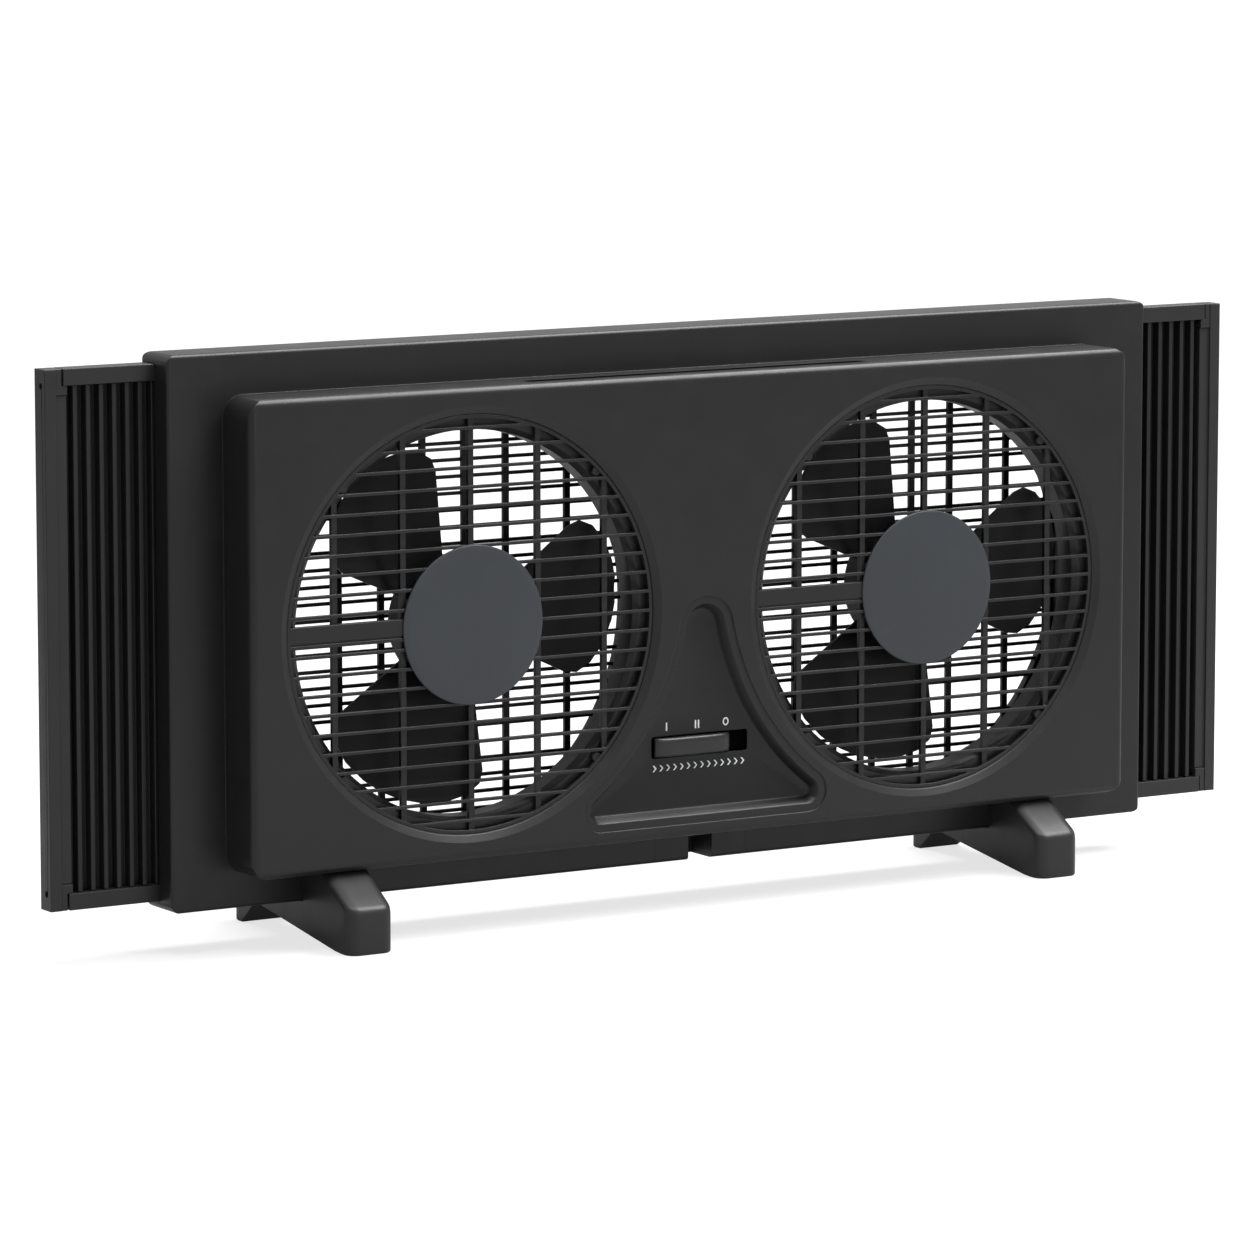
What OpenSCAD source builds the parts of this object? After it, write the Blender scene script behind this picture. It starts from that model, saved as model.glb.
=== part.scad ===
// Twin window fan: two fans side by side in a shallow box, a sliding ribbed
// expander at each end and a pair of arched feet.
// X runs to the right, Y runs backwards and Z runs up, in millimetres.
// The origin is on the ground, midway between the ends, midway through the box.

/* [Box] */
// Width of the box, end to end
box_w = 640; // [624:1:680]
// Height of the box
box_h = 301; // [296:1:330]
// Depth of the box behind the raised panel
box_d = 30; // [29:0.5:36]
// Height of the box's underside above the ground
box_lift = 22.5; // [20:0.5:40]
// Thickness of the moulded walls
wall = 2.5; // [2:0.1:3]
// Radius of the box's corners, seen from the front
box_corner_r = 6; // [3:0.5:12]
// Radius of the box's long edges
box_edge_r = 2.5; // [1:0.1:3]
// Thickness of the rear cover
cover_t = 3.5; // [3:0.1:4]

/* [Raised panel] */
// Width of the raised panel
panel_w = 573.5; // [560:0.5:600]
// Height of the raised panel
panel_h = 259; // [255:0.5:270]
// How far the panel stands in front of the box
panel_rise = 30; // [28:0.5:36]
// How far the panel's middle lies below the box's middle
panel_drop = 2; // [0:0.1:3]
// Radius of the panel's corners, seen from the front
panel_corner_r = 12; // [8:0.5:20]
// Radius of the panel's front edges
panel_edge_r = 5; // [3:0.1:6]

/* [Fan openings] */
// Distance between the two fans' axes
fan_pitch = 297.5; // [294:0.5:304]
// How far the fans' axes lie below the panel's middle
fan_drop = 0.5; // [0:0.1:3]
// Radius of the round front openings
opening_r = 115; // [112:0.5:117]
// Width of the bevel round each opening
rim_w = 4.5; // [2:0.1:5]
// Depth of the front wall at the bevel
rim_d = 2.5; // [1:0.1:3]
// Width of the ledge between the opening and the throat
throat_ledge = 9; // [8:0.1:11]
// Length of the throat
throat_len = 15; // [10:0.5:18]
// Height of the rear cover between its openings and the box's top
rear_margin = 25; // [24:0.5:32]

/* [Grilles] */
// Spacing of the front grille's level bars
bar_pitch = 10.75; // [9:0.05:12]
// Height of a level bar
bar_h = 1.7; // [1.2:0.1:2.5]
// Depth of a level bar
bar_d = 2.4; // [2:0.1:3]
// Width of an upright bar
upright_w = 3.4; // [2:0.1:5]
// Depth of an upright bar
upright_d = 2.4; // [2:0.1:2.6]
// Spacing of the upright bars
upright_pitch = 42.4; // [38:0.1:46]
// Height of the wire channel across the grille
channel_h = 12; // [10:0.5:14]
// Radius of the hub cap
cap_r = 43.8; // [42:0.1:46]
// Thickness of the hub cap
cap_t = 1.7; // [1.2:0.1:2.2]
// Spacing of the rear grille's level bars
rear_pitch = 9.3; // [8:0.1:12]
// Thickness of the rear grille's level bars
rear_bar = 1.9; // [1.5:0.1:2.5]
// Width of the rear grille's upright bars
rear_upright_w = 3.7; // [2.5:0.1:5]

/* [Impeller] */
// Number of blades
blade_count = 3; // [3:1:4]
// Gap between the blades' tips and the throat
blade_gap = 4; // [3:0.5:8]
// Length over which a blade's tip rounds off
blade_tip_len = 20; // [14:1:27]
// Half of the angle that a blade spans
blade_half = 31; // [24:1:34]
// Depth of a blade from its leading to its trailing edge
blade_depth = 22; // [16:0.5:23]
// Thickness of a blade
blade_t = 1.8; // [1.5:0.1:2.4]
// Angle of the first blade, from the right
blade_start = 6; // [0:1:30]
// Outer radius of the impeller's cup
cup_r = 35.5; // [35.2:0.1:38]
// Thickness of the cup's wall
cup_wall = 2.5; // [2:0.1:2.8]

/* [Motor] */
// Outer radius of the stator ring
stator_r = 30.5; // [29.5:0.1:30.8]
// Length of the stator's stack of sheets
stack_len = 12; // [11:0.5:13]
// Radius of the rotor
rotor_r = 14.6; // [14:0.1:15]
// Gap between the rotor and the poles
air_gap = 0.4; // [0.35:0.05:0.6]
// Radius of the shaft
shaft_r = 3; // [2.5:0.1:3.2]
// Radial clearance of the shaft in its bushings
bearing_gap = 0.05; // [0.02:0.01:0.08]
// Radius of the bushings
bushing_r = 5; // [4.6:0.1:5.4]
// Radius of the motor screws' shanks
motor_screw_r = 1.5; // [1.3:0.1:1.6]

/* [Switch] */
// Height of the switch slot's middle above the panel's lower edge
slot_height = 50.8; // [49:0.1:54]
// Width of the slot
slot_w = 63; // [60:0.5:66]
// Height of the slot
slot_h = 12; // [10:0.5:13]
// Width of the knob
knob_w = 50; // [46:0.5:52]
// How far the knob stands out of the recess floor
knob_proud = 4.5; // [3:0.1:6]
// Travel of the knob, from I to O
knob_travel = 11; // [8:0.5:12]
// Depth of the recess around the slot
recess_d = 7.5; // [6:0.1:8.5]

/* [Expanders] */
// How far each expander is pulled out as drawn
expander_out = 65; // [52:1:90]
// Length of the ribbed panel
ribbed_len = 104; // [100:1:110]
// Front to back thickness of the rails
rail_d = 12; // [11.5:0.1:12.2]
// Height of a rail
rail_h = 9; // [8:0.1:10]
// Width of the end post's outer lip
post_lip_w = 7; // [5:0.1:9]
// Width of the end post's inner strip
post_strip_w = 6.5; // [5:0.1:8]
// Spacing of the ribs
rib_pitch = 7.75; // [7:0.05:9]
// Width of a rib
rib_w = 2.6; // [2:0.1:3.5]
// Radius of the screw holes in the end posts
post_hole_r = 1.7; // [1.4:0.1:2]

/* [Feet] */
// Width of a foot
foot_w = 28; // [22:0.5:30]
// Distance of each foot from the box's end
foot_inset = 94; // [80:1:105]
// Depth of a foot, front to back
foot_d = 134; // [125:1:150]
// Height of the toe's upright front
toe_h = 24.5; // [22:0.5:28]
// Length of the flat soles under the toe and the heel
sole_len = 11; // [9:0.5:16]
// How far the underside rises from the toe to the heel
foot_rise = 14; // [10:0.5:15]
// Radius of the toe's upright corners
toe_corner_r = 7; // [5:0.5:9]
// Radius of the foot's upper edges
foot_edge_r = 3.5; // [2.5:0.1:5]

/* [Clearances] */
// Gap between pieces that slide
slide_gap = 0.3; // [0.2:0.05:0.5]
// Gap around screws and seats
fit_gap = 0.1; // [0.05:0.01:0.2]

/* [Hidden] */
$fn = 64;
eps = 0.01;

// Colours
charcoal = [0.20, 0.20, 0.205];
dark = [0.10, 0.10, 0.105];
black = [0.05, 0.05, 0.055];
cap_grey = [0.27, 0.29, 0.31];
steel = [0.62, 0.63, 0.65];
sheet_steel = [0.42, 0.43, 0.45];
copper = [0.72, 0.42, 0.22];
bronze = [0.66, 0.50, 0.28];
wire_white = [0.85, 0.85, 0.82];

// How far a cut runs past the face that it opens, and an added piece into its neighbour
cut = 1;

// Levels of the box, front to back and bottom to top
box_front = -box_d / 2;
box_back = box_d / 2;
cover_front = box_back - cover_t;
panel_front = box_front - panel_rise;
panel_inside = panel_front + rim_d;
box_bottom = box_lift;
box_top = box_lift + box_h;
box_mid = box_lift + box_h / 2;
panel_mid = box_mid - panel_drop;
panel_bottom = panel_mid - panel_h / 2;
fan_z = panel_mid - fan_drop;
fan_x = fan_pitch / 2;
slot_z = panel_bottom + slot_height;

// Radii of a fan's openings and blades
ring_wall = 3;
throat_r = opening_r - throat_ledge;
rear_r = box_top - rear_margin - fan_z;
blade_r = throat_r - blade_gap;
blade_round_r = blade_r - blade_tip_len;

// Front grille, front to back
bar_overlap = 0.6;
grille_front = panel_inside + fit_gap;
upright_front = grille_front + bar_d - bar_overlap;
grille_back = upright_front + upright_d;
grille_ring_r = opening_r - 2 * fit_gap;
grille_ring_w = 2;
grille_boss_r = 2.6;
hub_plate_r = cap_r - 1.5;
hub_plate_t = 3;
hub_plate_back = grille_front + hub_plate_t;
cap_bevel = 0.5;
channel_front = 1.2;
groove_low = 4;
groove_high = 2.8;
groove_d = 0.9;

// Throat, front to back
ledge_front = grille_back + fit_gap;
ledge_t = 3;
throat_back = ledge_front + throat_len;

// Screws of the front grilles, as angles around the fan's axis
grille_screw_angles = [45, 135, 225, 315];
grille_screw_r = opening_r - throat_ledge / 2 + 1.7;
small_screw_r = 1.2;
small_head_r = 2.3;
small_head_t = 1.4;
small_screw_bite = 2;

// Screws and bosses of the rear cover
cover_screw_x = [60, box_w / 2 - 115];
cover_screw_inset = 9.2;
cover_screw_r = 1.6;
cover_screw_len = 14;
cover_hole_depth = 16;
cover_head_r = 3.3;
cover_head_t = 1.4;
cover_sink = 1.6;
cover_boss_r = 4;

// Lips inside the rear cover, between its screws
lip_gap = 0.3;
lip_t = 1.8;
lip_d = 4;
lip_end_gap = 17.5;

// Bars of the rear cover, from back to front
rear_rim_w = 3.5;
rear_rim_t = 1.2;
rear_bar_d = 2;
rear_upright_back = box_back - 1.4;
rear_upright_x = [0, 26.5, 53, 92.5];

// Motor, front to back, and its radii
bracket_t = 1.6;
arm_t = 2;
arm_w = 6;
arm_end = 1.3;
bracket_boss_r = 4;
bracket_step = 0.3;
stack_front = hub_plate_back + 6.5;
stack_back = stack_front + stack_len;
coil_overhang = 5.2;
rear_arm_y = stack_back + coil_overhang + slide_gap;
rear_arm_back = rear_arm_y + arm_t;
stator_ring_w = 5.5;
stator_inner_r = stator_r - stator_ring_w;
motor_screw_angles = [45, 225];
motor_screw_place_r = stator_r - stator_ring_w / 2;
motor_head_r = 2.9;
motor_head_t = 1.3;
motor_nut_r = 3.1;
motor_nut_t = 2.2;
motor_screw_end = rear_arm_back + motor_nut_t + 0.6;
pole_inner_r = rotor_r + air_gap;
pole_w = 9;
shoe_t = 3.2;
coil_wall = 3;
coil_in_r = pole_inner_r + shoe_t + 0.4;
coil_half_w = pole_w / 2 + coil_wall;
coil_out_r = sqrt(pow(stator_inner_r - slide_gap, 2) - pow(coil_half_w, 2));
rotor_inset = 0.6;
rotor_hub_r = shaft_r + 2;
bushing_front = hub_plate_back + 2 * bracket_step;
bushing_front_len = 5.4;
bushing_rear = stack_back + 0.8;
bushing_rear_len = 6.2;
housing_r = bushing_r + 2;

// Impeller, front to back
cup_inner_r = cup_r - cup_wall;
cup_front = hub_plate_back + 2;
cup_end_front = rear_arm_back + 5;
cup_end_t = 2.6;
cup_taper_len = 4;
cup_taper = 4;
cup_boss_r = 7.5;
cup_boss_len = 9;
cup_back = cup_end_front + cup_end_t + cup_boss_len;
clip_r = 6;
clip_t = 1.2;
shaft_front = hub_plate_back + 0.5;
shaft_back = cup_back + clip_t + 1;
blade_mid = ledge_front + 2.8 + blade_depth / 2;
blade_rows = 9;
blade_columns = 14;

// Recess: a bell outline of one apex arc, two side arcs and two corner arcs
apex_r = 17.5;
apex_z = slot_z + 67;
recess_base_z = slot_z - 43.3;
recess_corner_r = 12;
recess_corner_x = 68;
recess_side_r = 152;
apex_c = [0, apex_z];
corner_c = [recess_corner_x, recess_base_z + recess_corner_r];
to_apex = recess_side_r + apex_r;
to_corner = recess_side_r + recess_corner_r;
apex_corner = norm(corner_c - apex_c);
along_u = (corner_c - apex_c) / apex_corner;
along_t = (to_apex * to_apex - to_corner * to_corner + apex_corner * apex_corner)
    / (2 * apex_corner);
side_h = sqrt(to_apex * to_apex - along_t * along_t);
side_c = apex_c + along_t * along_u + side_h * [-along_u[1], along_u[0]];
step_w = 4.5;
step_d = 0.8;
recess_floor = panel_front + recess_d;
tub_back = recess_floor + wall;
tub_inset = 2;

// Knob in its slot
slot_corner_r = 1.5;
knob_h = slot_h - 2 * slide_gap;
knob_corner_r = 2;
knob_end_gap = (slot_w - knob_w - knob_travel) / 2;
knob_x = -slot_w / 2 + knob_end_gap + knob_w / 2;
knob_front = recess_floor - knob_proud;
knob_flat = 12;
knob_bevel = 5;
knob_bevel_d = 0.9;
knob_edge_d = 2.4;
knob_plate_w = slot_w + knob_travel + 2;
knob_plate_h = slot_h + 4;
knob_plate_t = 1.5;
knob_plate_front = tub_back + slide_gap;

// Switch behind the recess
switch_front = knob_plate_front + knob_plate_t + slide_gap;
switch_w = 40;
switch_h = 16;
switch_d = 12;
switch_back = switch_front + switch_d;
switch_ear = 5;
switch_ear_w = 10;
switch_ear_t = 2;
switch_ear_front = switch_front + switch_ear_t;
switch_ear_back = switch_ear_front + switch_ear_t;
switch_screw_z = switch_h / 2 + switch_ear - 1.2;
switch_boss_r = 2.8;
lever_w = 5;
lever_h = 4;
lever_reach = 5;
lever_gap = 0.6;

// Notch under the box, the plate it is cut in, the pocket above it and the grommet in
// the pocket's roof
notch_x = 14.7;
notch_w = 15.6;
notch_h = 15.5;
notch_d = 22;
pocket_half = notch_w / 2 + wall;
plate_half = 30;
plate_lip = 5;
pocket_roof = box_bottom + notch_h;
grommet_y = box_front + 11;
grommet_hole_r = 5;
grommet_lip_r = grommet_hole_r + 1.8;
grommet_lip_t = 2;
cord_r = 3.5;

// Expanders: rail_front is the front of the rails, the post ends at post_x
rail_front = cover_front - slide_gap - rail_d;
rail_back = rail_front + rail_d;
rail_inset = 5.5;
rail_bottom = box_bottom + rail_inset;
rail_top = box_top - rail_inset;
rail_wall = 1.8;
post_x = box_w / 2 + expander_out;
strip_x = post_x - post_lip_w;
strip_end_x = strip_x - post_strip_w;
strip_front = rail_front + 1.5;
key_w = 3.3;
key_h = 14;
key_front = rail_front + 0.5;
key_tongue_t = 3.4;
key_tongue_len = 11;
key_socket_len = 14;
key_back = rail_back - rail_wall - 2;
rail_end_x = strip_x - key_w - slide_gap - 0.5;
ribbed_grip = 2.5;
ribbed_end_x = strip_end_x + ribbed_grip;
ribbed_in_x = ribbed_end_x - ribbed_len;
ribbed_plate_front = rail_back - 4.2;
ribbed_plate_t = 2;
rib_front = rail_front + 1.8;
rib_end_gap = 5.2;
tongue = 2;
post_hole_inset = 9;
post_hole_y = (rail_front + rail_back) / 2 - 1;

// Ledges and ribs in the box that guide the rails
guide_len = 80;
guide_t = 2.5;
guide_rib_inset = 1.5;

// Feet
foot_x = box_w / 2 - foot_inset;
foot_top = panel_bottom - fit_gap;
foot_slope_share = 0.48;
foot_sole_edge = 0.8;
foot_seat_z = box_bottom - 3.3;
heel_y = foot_d / 2 - sole_len - 16;
foot_screw_y = box_front + 8;
foot_screw_r = 1.7;
foot_head_r = 3.6;
foot_head_t = 1.8;
foot_boss_len = 10;
foot_screw_len = 7.5;

// Motor leads: held wires from the coils along the wire channels to the switch
lead_r = 1.4;
lead_sides = 8;
lead_bend_r = 3.5;
lead_start = 18;
lead_y = grille_front + channel_front + lead_r + 0.2;
lead_ring_r = opening_r + 6;
lead_drop_y = ledge_front + ledge_t;
lead_way = 2.2;
lead_way_in = 4;
lead_way_out = 8;
lead_end_y = switch_back + 6;
lead_end_x = 12;

// ---------------------------------------------------------------- helpers

// A flat shape in X and Z, extruded from y0 back to y1
module along_y(y0, y1)
    translate([0, y1, 0])
        rotate([90, 0, 0])
            linear_extrude(y1 - y0)
                children();

module disc(r, y0, y1)
    along_y(y0, y1)
        circle(r = r);

module ring(outer, inner, y0, y1)
    along_y(y0, y1)
        difference() {
            circle(r = outer);
            circle(r = inner);
        }

// A cone along Y with radius r0 at y0 and r1 at y1
module cone(r0, r1, y0, y1)
    translate([0, y1, 0])
        rotate([90, 0, 0])
            cylinder(h = y1 - y0, r1 = r1, r2 = r0);

module slab(x0, x1, y0, y1, z0, z1)
    translate([x0, y0, z0])
        cube([x1 - x0, y1 - y0, z1 - z0]);

// An upright cylinder
module peg(r, z0, z1)
    translate([0, 0, z0])
        cylinder(h = z1 - z0, r = r);

module round_rect(w, h, r) {
    square([w - 2 * r, h], center = true);
    square([w, h - 2 * r], center = true);
    for (x = [-1, 1], y = [-1, 1])
        translate([x * (w / 2 - r), y * (h / 2 - r)])
            circle(r = r);
}

// A rectangle from y0 to y1 whose two corners at y0 are rounded
module front_rounded(y0, y1, half, r) {
    translate([y0 + r, -half])
        square([y1 - y0 - r, 2 * half]);
    translate([y0, -half + r])
        square([2 * r, 2 * (half - r)]);
    for (s = [-1, 1])
        translate([y0 + r, s * (half - r)])
            circle(r = r);
}

// A box w wide and h high from y0 to y1, with round corners and soft front edges
module soft_box(w, h, y0, y1, corner_r, edge_r)
    intersection() {
        along_y(y0, y1)
            round_rect(w, h, corner_r);
        rotate([90, 0, 90])
            linear_extrude(w + 2 * cut, center = true)
                front_rounded(y0, y1, h / 2, edge_r);
        linear_extrude(h + 2 * cut, center = true)
            rotate(90)
                front_rounded(y0, y1, w / 2, edge_r);
    }

// The children as drawn, on the right, or mirrored to the left when s is -1
module on_side(s)
    mirror([s < 0 ? 1 : 0, 0, 0])
        children();

module both_sides()
    for (s = [-1, 1])
        on_side(s)
            children();

module at_fan(s)
    translate([s * fan_x, 0, fan_z])
        children();

module around(angles, r)
    for (a = angles)
        translate([r * cos(a), 0, r * sin(a)])
            children();

// ------------------------------------------------------- recess and notch

function direction_of(from, to) = atan2(to[1] - from[1], to[0] - from[0]);

function arc(centre, r, a0, a1, n) =
    [for (i = [0:n]) centre + r * [cos(a0 + (a1 - a0) * i / n), sin(a0 + (a1 - a0) * i / n)]];

// Right half of the recess outline, moved inwards by inset
function recess_half(inset) = concat(
    arc(corner_c, recess_corner_r - inset, -90, direction_of(corner_c, side_c), 13),
    arc(side_c, recess_side_r + inset, direction_of(side_c, corner_c) - 2,
        direction_of(side_c, apex_c) + 2, 11),
    arc(apex_c, apex_r - inset, direction_of(apex_c, side_c), 90, 10)
);

function recess_outline(inset) = let (half = recess_half(inset), n = len(half))
    concat(half, [for (i = [n - 2:-1:0]) [-half[i][0], half[i][1]]]);

// Inset and depth at each step from the panel's face down to the recess floor
recess_profile = [
    [0, -cut], [0, step_d], [step_w, step_d], [step_w + 0.6, step_d + 0.5],
    [step_w + 2.4, recess_d - 2.2], [step_w + 3.6, recess_d - 0.7], [step_w + 5.6, recess_d]
];

// Level strips that fill a ring of n points from index k, where left mirrors right
function strips(n, k) = [for (i = [0:(n - 3) / 2]) let (m = n - 1 - i)
    i + 2 == m ? [k + i, k + i + 1, k + m] : [k + i, k + i + 1, k + m - 1, k + m]];
function turned(face) = [for (i = [len(face) - 1:-1:0]) face[i]];

module recess_cut() {
    rings = [for (step = recess_profile)
        [for (p = recess_outline(step[0])) [p[0], panel_front + step[1], p[1]]]];
    n = len(rings[0]);
    last = len(rings) - 1;
    sides = [for (k = [0:last - 1], i = [0:n - 1]) let (j = (i + 1) % n)
        [k * n + i, k * n + j, (k + 1) * n + j, (k + 1) * n + i]];
    polyhedron(
        points = [for (r = rings, p = r) p],
        faces = concat(sides, [for (f = strips(n, 0)) turned(f)], strips(n, last * n))
    );
}

module inlet_way()
    slab(notch_x - notch_w / 2, notch_x + notch_w / 2, box_front - cut, box_front + notch_d,
        box_bottom - cut, pocket_roof);

// The part of the box's skin that the inlet plate stands in for, and the gap around it
module inlet_bay(gap)
    slab(notch_x - plate_half - gap, notch_x + plate_half + gap, box_front - cut, cover_front + cut,
        box_bottom - cut, pocket_roof + gap);

// -------------------------------------------------------------- the shells

module shell_skin()
    difference() {
        union() {
            translate([0, 0, box_mid])
                soft_box(box_w, box_h, box_front, cover_front, box_corner_r, box_edge_r);
            translate([0, 0, panel_mid])
                soft_box(panel_w, panel_h, panel_front, box_front + cut, panel_corner_r, panel_edge_r);
        }
        translate([0, 0, box_mid])
            along_y(box_front + wall, cover_front + cut)
                round_rect(box_w - 2 * wall, box_h - 2 * wall, box_corner_r - wall);
        translate([0, 0, panel_mid])
            along_y(panel_inside, box_front + wall + cut)
                round_rect(panel_w - 2 * wall, panel_h - 2 * wall, panel_corner_r - wall);
    }

module cover_screw_places()
    for (x = cover_screw_x, s = [-1, 1])
        for (z = [box_bottom + cover_screw_inset, box_top - cover_screw_inset])
            translate([s * x, 0, z])
                children();

module switch_screw_places()
    for (s = [-1, 1])
        translate([0, 0, slot_z + s * switch_screw_z])
            children();

module foot_screw_places()
    both_sides()
        translate([foot_x, foot_screw_y, 0])
            children();

// Ledges and ribs that carry one expander's rails, on the right
module rail_guides() {
    x0 = box_w / 2 - guide_len;
    x1 = box_w / 2 - wall + eps;
    y0 = box_front + wall - eps;
    low_rib = rail_bottom + guide_rib_inset;
    high_rib = rail_top - guide_rib_inset - guide_t;
    slab(x0, x1, y0, cover_front, box_bottom + wall - eps, rail_bottom - slide_gap);
    slab(x0, x1, y0, cover_front, rail_top + slide_gap, box_top - wall + eps);
    for (z = [low_rib, high_rib])
        slab(x0, x1, y0, rail_front - slide_gap, z, z + guide_t);
}

module front_shell() color(charcoal) difference() {
    union() {
        shell_skin();
        along_y(panel_inside - cut, tub_back)
            polygon(recess_outline(tub_inset));
        cover_screw_places()
            disc(cover_boss_r, box_front + wall - eps, cover_front);
        both_sides()
            rail_guides();
        switch_screw_places()
            disc(switch_boss_r, tub_back - eps, switch_ear_front);
        foot_screw_places()
            peg(cover_boss_r, box_bottom + eps, box_bottom + foot_boss_len);
    }
    for (s = [-1, 1])
        at_fan(s) {
            cone(opening_r + rim_w, opening_r, panel_front - eps, panel_inside);
            disc(opening_r, panel_inside - eps, panel_inside + cut);
        }
    recess_cut();
    translate([0, 0, slot_z])
        along_y(panel_front, tub_back + cut)
            round_rect(slot_w, slot_h, slot_corner_r);
    cover_screw_places()
        disc(cover_screw_r, cover_front - cover_hole_depth, cover_front + cut);
    inlet_bay(fit_gap);
    both_sides()
        slab(box_w / 2 - wall - cut, box_w / 2 + cut, rail_front - slide_gap, cover_front + cut,
            rail_bottom - slide_gap, rail_top + slide_gap);
    switch_screw_places()
        disc(small_screw_r, tub_back + small_screw_r / 2, switch_ear_front + cut);
    foot_screw_places()
        peg(foot_screw_r, box_bottom - cut, box_bottom + foot_boss_len - small_screw_r);
}

// A ring bonded to the back of the panel, with the ledge that holds the front grille and
// the throat around the blades
module shroud(s)
    at_fan(s)
        difference() {
            union() {
                disc(opening_r + ring_wall, panel_inside, ledge_front + ledge_t);
                disc(throat_r + wall, ledge_front, throat_back);
            }
            disc(opening_r, panel_inside - cut, ledge_front);
            cone(throat_r + ledge_t, throat_r, ledge_front - eps, ledge_front + ledge_t);
            disc(throat_r, ledge_front + ledge_t - eps, throat_back + cut);
            around(grille_screw_angles, grille_screw_r)
                disc(small_screw_r + fit_gap, ledge_front - cut, ledge_front + ledge_t + cut);
            // Way for the motor lead from the wire channel to the space behind the ledge
            slab(-opening_r - lead_way_out, -throat_r - lead_way_in, grille_front + bar_overlap,
                ledge_front + ledge_t + cut, -lead_way, lead_way);
        }

module left_shroud() color(charcoal) shroud(-1);
module right_shroud() color(charcoal) shroud(1);

module rear_bars() {
    reach = rear_r + rear_rim_w;
    level = floor(rear_r / rear_pitch);
    for (i = [-level:level])
        slab(-reach, reach, box_back - rear_bar_d, box_back - eps,
            i * rear_pitch - rear_bar / 2, i * rear_pitch + rear_bar / 2);
    for (x = rear_upright_x, s = x == 0 ? [1] : [-1, 1])
        slab(s * x - rear_upright_w / 2, s * x + rear_upright_w / 2, cover_front, rear_upright_back,
            -reach, reach);
}

// Lips that line the cover up with the inside of the front shell
module cover_lips()
    for (z = [box_bottom + wall + lip_gap, box_top - wall - lip_gap - lip_t])
        both_sides()
            slab(cover_screw_x[0] + lip_end_gap, cover_screw_x[1] - lip_end_gap,
                cover_front - lip_d, cover_front + cut, z, z + lip_t);

module rear_cover() color(dark) {
    difference() {
        union() {
            translate([0, 0, box_mid])
                mirror([0, 1, 0])
                    soft_box(box_w, box_h, -box_back, -cover_front, box_corner_r, box_edge_r);
            cover_lips();
            for (s = [-1, 1])
                at_fan(s)
                    disc(rear_r + rear_rim_w, box_back - cut, box_back + rear_rim_t);
        }
        for (s = [-1, 1])
            at_fan(s)
                disc(rear_r, cover_front - lip_d - cut, box_back + rear_rim_t + cut);
        cover_screw_places() {
            disc(cover_screw_r + 2 * fit_gap, cover_front - cut, box_back + cut);
            disc(cover_head_r + slide_gap, box_back - cover_sink, box_back + cut);
        }
    }
    for (s = [-1, 1])
        at_fan(s)
            intersection() {
                rear_bars();
                disc(rear_r + rear_rim_w / 4, cover_front - cut, box_back + cut);
            }
}

module rear_cover_screws() color(steel)
    cover_screw_places() {
        disc(cover_head_r, box_back - cover_sink, box_back - cover_sink + cover_head_t);
        disc(cover_screw_r - fit_gap, cover_front - cover_screw_len, box_back - cover_sink + fit_gap);
    }

// --------------------------------------------------------- front grilles

module front_bars() {
    level = floor((grille_ring_r - grille_ring_w) / bar_pitch);
    for (i = [-level:level])
        slab(-grille_ring_r, grille_ring_r, grille_front, grille_front + bar_d,
            i * bar_pitch - bar_h / 2, i * bar_pitch + bar_h / 2);
    for (i = [-2:2])
        slab(i * upright_pitch - upright_w / 2, i * upright_pitch + upright_w / 2,
            upright_front, grille_back, -grille_ring_r, grille_ring_r);
}

// Wide channel for the lead, from the rim to the hub plate, with a groove in its face
module wire_channel()
    difference() {
        slab(-grille_ring_r, -hub_plate_r + 2 * cut, grille_front, grille_back,
            -channel_h / 2, channel_h / 2);
        slab(-grille_ring_r - cut, -hub_plate_r, grille_front - cut, grille_front + groove_d,
            -groove_low, -groove_high);
    }

module grille(s)
    at_fan(s)
        difference() {
            union() {
                intersection() {
                    union() {
                        front_bars();
                        wire_channel();
                    }
                    disc(grille_ring_r - grille_ring_w / 4, grille_front - cut, grille_back + cut);
                }
                ring(grille_ring_r, grille_ring_r - grille_ring_w, grille_front, grille_back);
                disc(hub_plate_r, grille_front, hub_plate_back);
                around(grille_screw_angles, grille_screw_r)
                    disc(grille_boss_r, grille_front + cut, grille_back);
            }
            around(grille_screw_angles, grille_screw_r)
                disc(small_screw_r, grille_back - small_screw_bite - 0.4, grille_back + cut);
            around(motor_screw_angles, motor_screw_place_r) {
                disc(motor_screw_r + fit_gap, grille_front - cut, hub_plate_back + cut);
                disc(motor_head_r + 2 * fit_gap, grille_front - cut, grille_front + 0.2 + motor_head_t);
            }
            disc(hub_plate_r - cut, hub_plate_back, grille_back + cut);
            slab(-grille_ring_r - cut, -lead_start + 2 * cut, grille_front + channel_front,
                grille_back + cut, -lead_way, lead_way);
        }

module left_front_grille() color(dark) grille(-1);
module right_front_grille() color(dark) grille(1);

module front_grille_screws() color(steel)
    for (s = [-1, 1])
        at_fan(s)
            around(grille_screw_angles, grille_screw_r) {
                disc(small_head_r, ledge_front + ledge_t, ledge_front + ledge_t + small_head_t);
                disc(small_screw_r - fit_gap / 2, grille_back - small_screw_bite,
                    ledge_front + ledge_t + fit_gap);
            }

module hub_cap(s)
    at_fan(s)
        difference() {
            cap_front = grille_front - cap_t;
            union() {
                cone(cap_r - cap_bevel, cap_r, cap_front, cap_front + cap_bevel);
                disc(cap_r, cap_front + cap_bevel - eps, grille_front);
            }
            disc(hub_plate_r - 4 * cap_t, grille_front - cap_t / 4, grille_front + cut);
        }

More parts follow.
